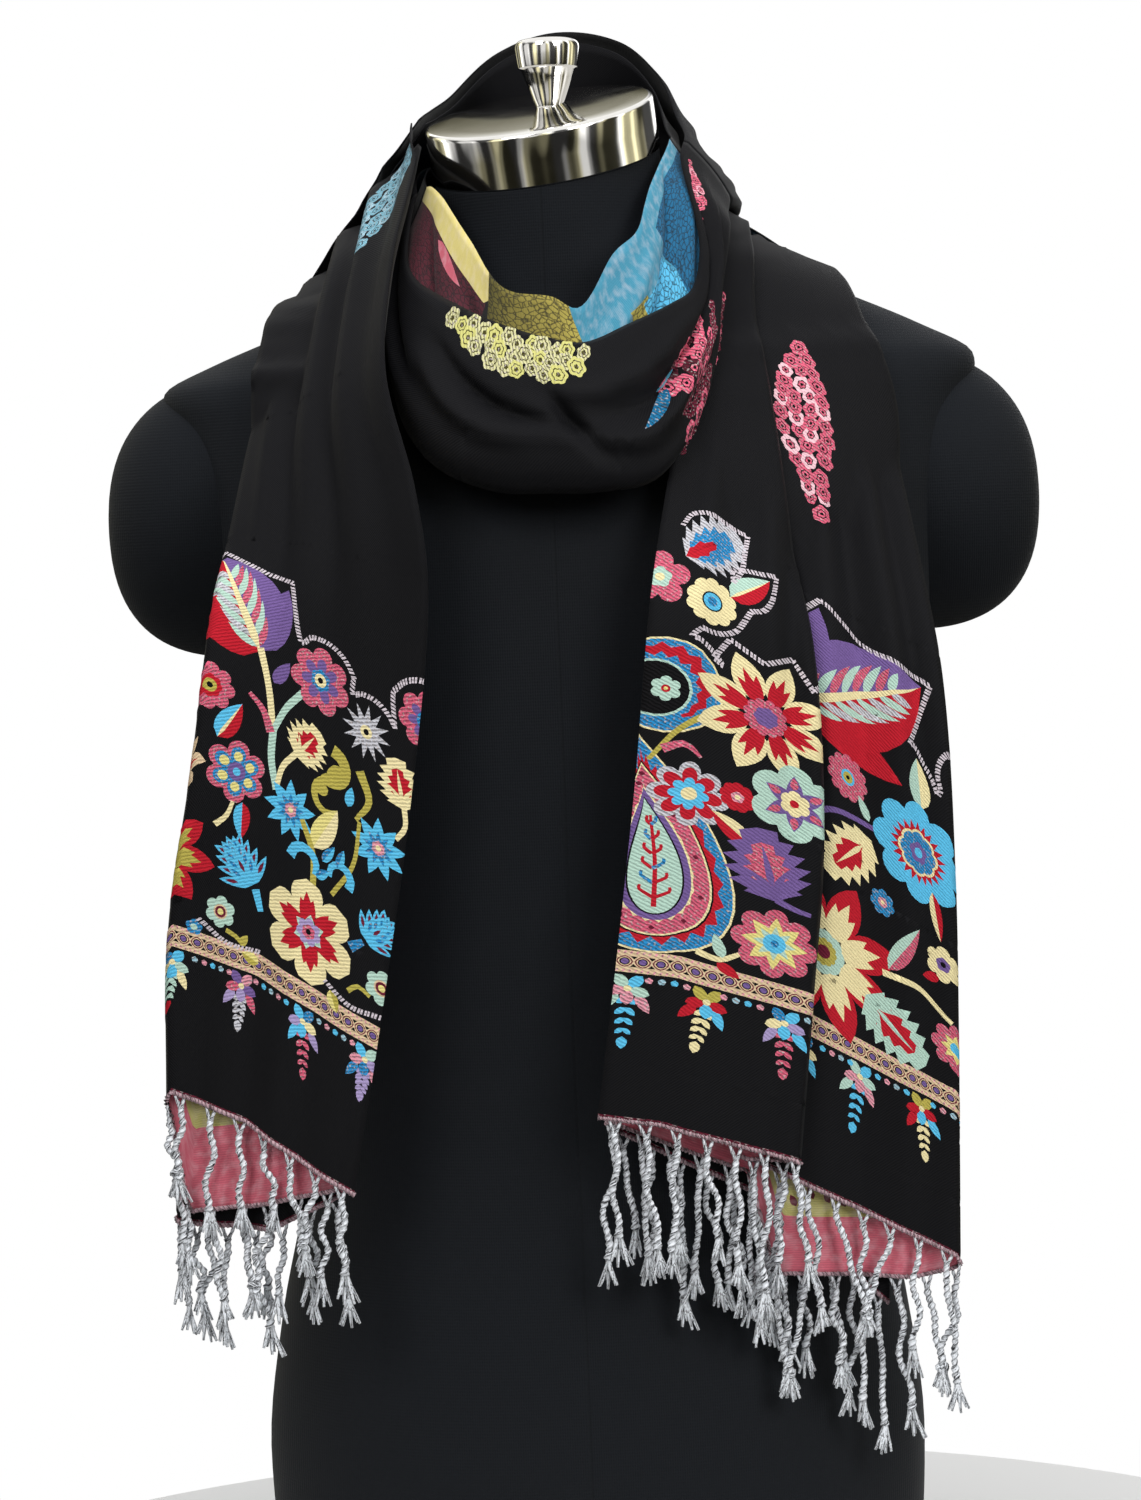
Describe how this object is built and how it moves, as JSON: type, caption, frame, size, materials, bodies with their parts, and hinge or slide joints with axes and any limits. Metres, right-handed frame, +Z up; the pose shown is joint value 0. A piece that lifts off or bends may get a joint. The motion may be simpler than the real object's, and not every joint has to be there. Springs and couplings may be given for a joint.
{
  "type": "stole on dress form",
  "caption": "Patterned woven stole with fringed ends, wound round the neck of a limbless dress form and hanging down its front, on a flat base.",
  "frame": {"origin": "middle of the dress form's flat underside, which rests on the surface", "axes": "+Z up along the form, +X to the right seen from the front, +Y to the back"},
  "size_m": [0.4992, 0.2864, 0.895],
  "materials": {
    "form": "matt black jersey cover",
    "chrome": "polished, mirror-like",
    "cloth": "fine jacquard weave, black ground with coloured flowers and paisleys, coloured bands on the reverse",
    "fringe": "twisted two-colour yarn, dark and light"
  },
  "bodies": {
    "root": {"form_torso": "form", "form_left_arm_cap": "form", "form_right_arm_cap": "form", "neck_cap": "chrome", "neck_cap_knob": "chrome", "right_tail": "cloth", "left_tail": "cloth", "inner_loop": "cloth", "cowl": "cloth", "outer_loop": "cloth", "right_fringe": "fringe", "left_fringe": "fringe"}
  },
  "joints": []
}
